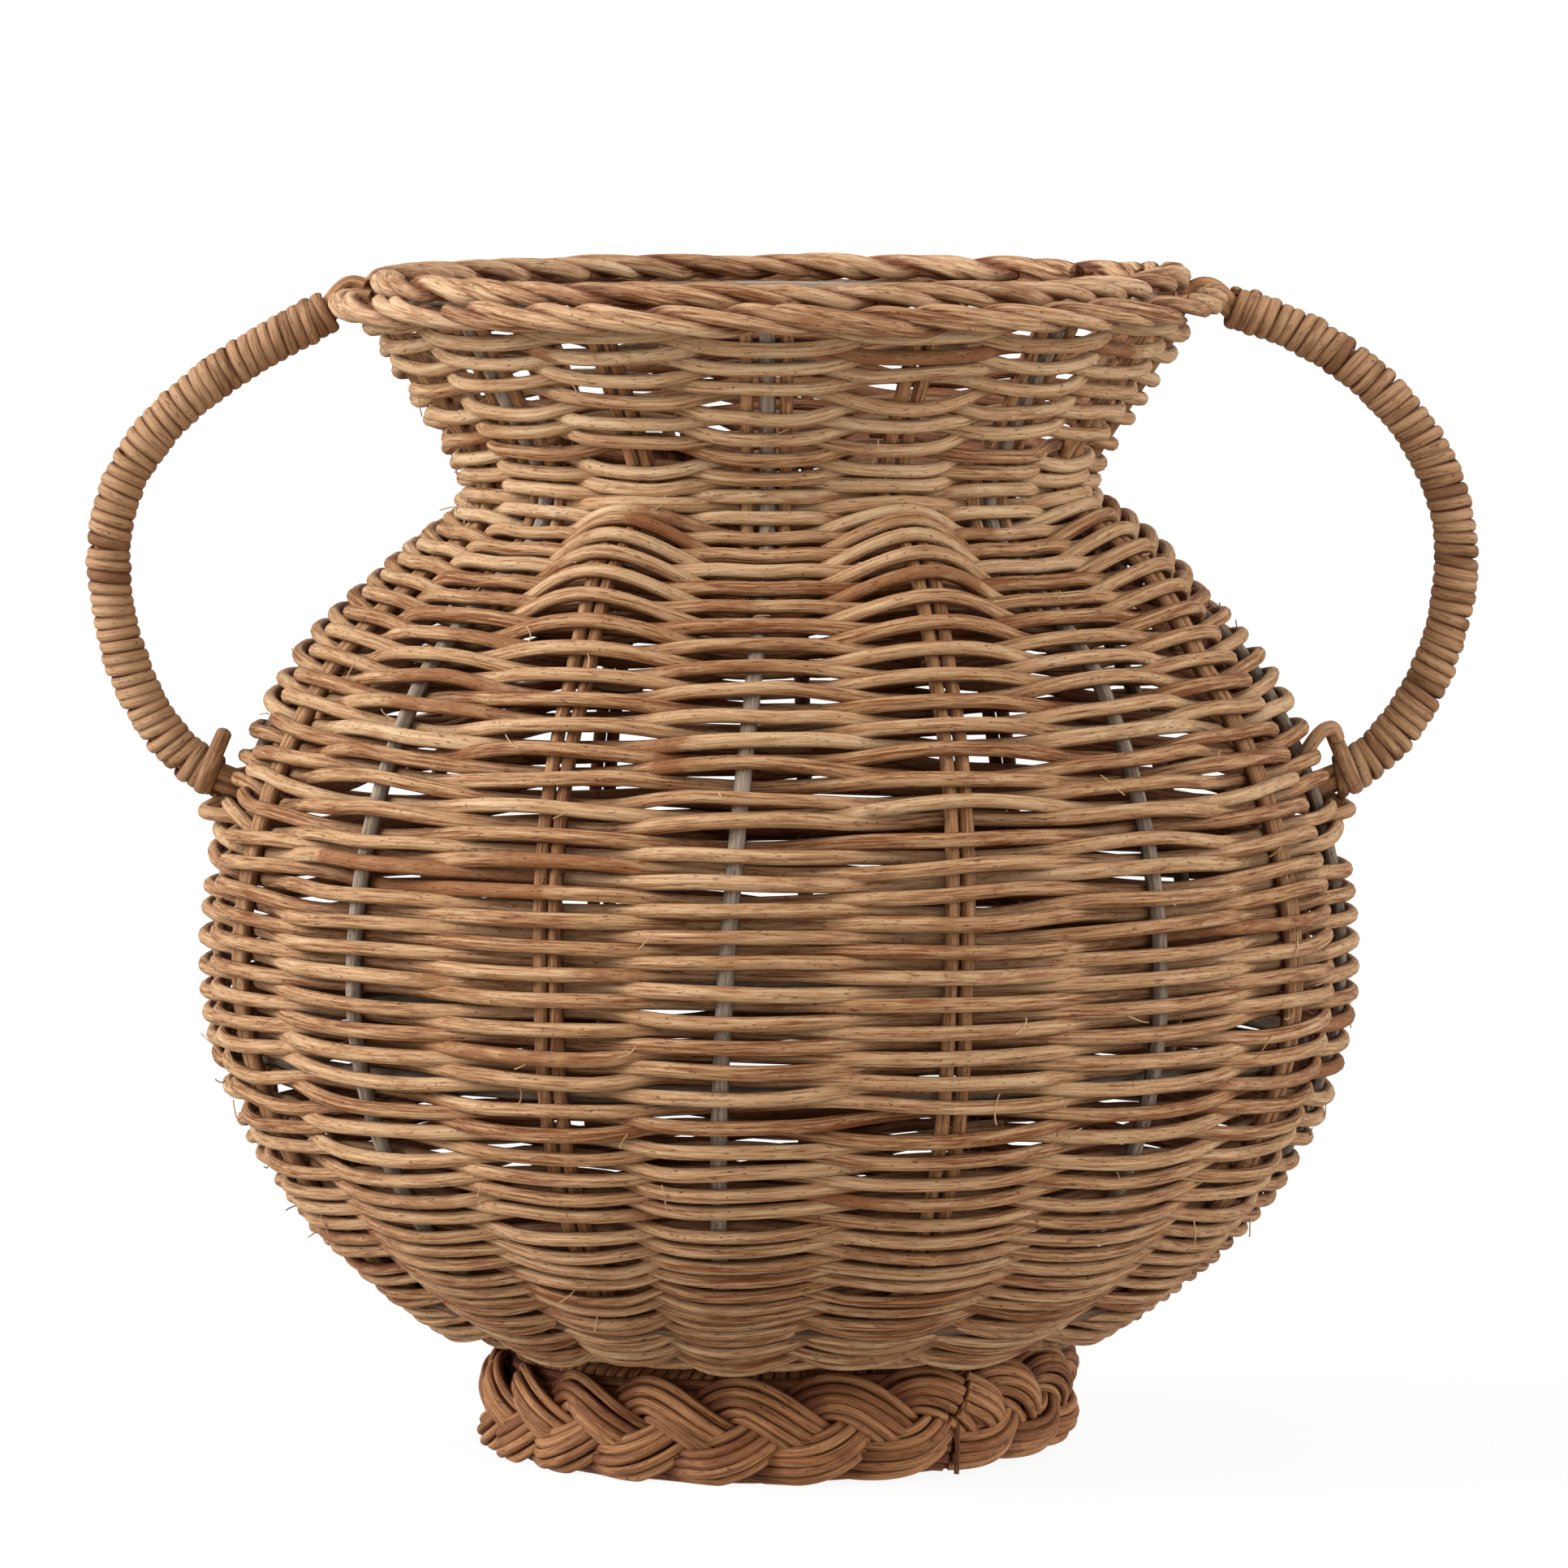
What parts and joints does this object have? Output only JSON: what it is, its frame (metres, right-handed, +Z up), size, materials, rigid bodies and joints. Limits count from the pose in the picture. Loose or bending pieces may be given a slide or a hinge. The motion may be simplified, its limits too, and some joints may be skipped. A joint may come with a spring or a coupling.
{
  "type": "rattan vase",
  "caption": "Round woven rattan vase with a flared neck, rope border, plaited foot and two wrapped ear handles.",
  "frame": {"origin": "centre of the foot on the surface that the vase stands on", "axes": "+Z up along the vase's axis, +X through the right handle, -Y to the front"},
  "size_m": [0.4506, 0.3766, 0.3826],
  "materials": {
    "rattan": "peeled natural rattan core, matt",
    "brown_rattan": "darker rattan core with bits of bark, matt",
    "grey_rattan": "greyed rattan pole, matt"
  },
  "bodies": {
    "root": {"lower_wall": "rattan", "upper_wall": "rattan", "neck_wall": "rattan", "woven_floor": "rattan", "border_lower_rope": "rattan", "border_upper_rope": "rattan", "frame_rod_1": "grey_rattan", "frame_rod_2": "grey_rattan", "frame_rod_3": "grey_rattan", "frame_rod_4": "grey_rattan", "frame_rod_5": "grey_rattan", "frame_rod_6": "grey_rattan", "frame_rod_7": "grey_rattan", "frame_rod_8": "grey_rattan", "base_hoop": "grey_rattan", "belly_hoop": "grey_rattan", "rim_hoop": "grey_rattan", "side_stake_1_left": "brown_rattan", "side_stake_1_right": "brown_rattan", "side_stake_2_left": "brown_rattan", "side_stake_2_right": "brown_rattan", "side_stake_3_left": "brown_rattan", "side_stake_3_right": "brown_rattan", "side_stake_4_left": "brown_rattan", "side_stake_4_right": "brown_rattan", "side_stake_5_left": "brown_rattan", "side_stake_5_right": "brown_rattan", "side_stake_6_left": "brown_rattan", "side_stake_6_right": "brown_rattan", "side_stake_7_left": "brown_rattan", "side_stake_7_right": "brown_rattan", "side_stake_8_left": "brown_rattan", "side_stake_8_right": "brown_rattan", "foot_strand_1": "brown_rattan", "foot_strand_2": "brown_rattan", "foot_strand_3": "brown_rattan", "foot_tie": "brown_rattan", "foot_ring": "brown_rattan", "right_handle_core": "brown_rattan", "right_handle_wrap": "rattan", "right_handle_top_lashing": "rattan", "right_handle_seat_lashing": "rattan", "left_handle_core": "brown_rattan", "left_handle_wrap": "rattan", "left_handle_top_lashing": "rattan", "left_handle_seat_lashing": "rattan"}
  },
  "joints": []
}
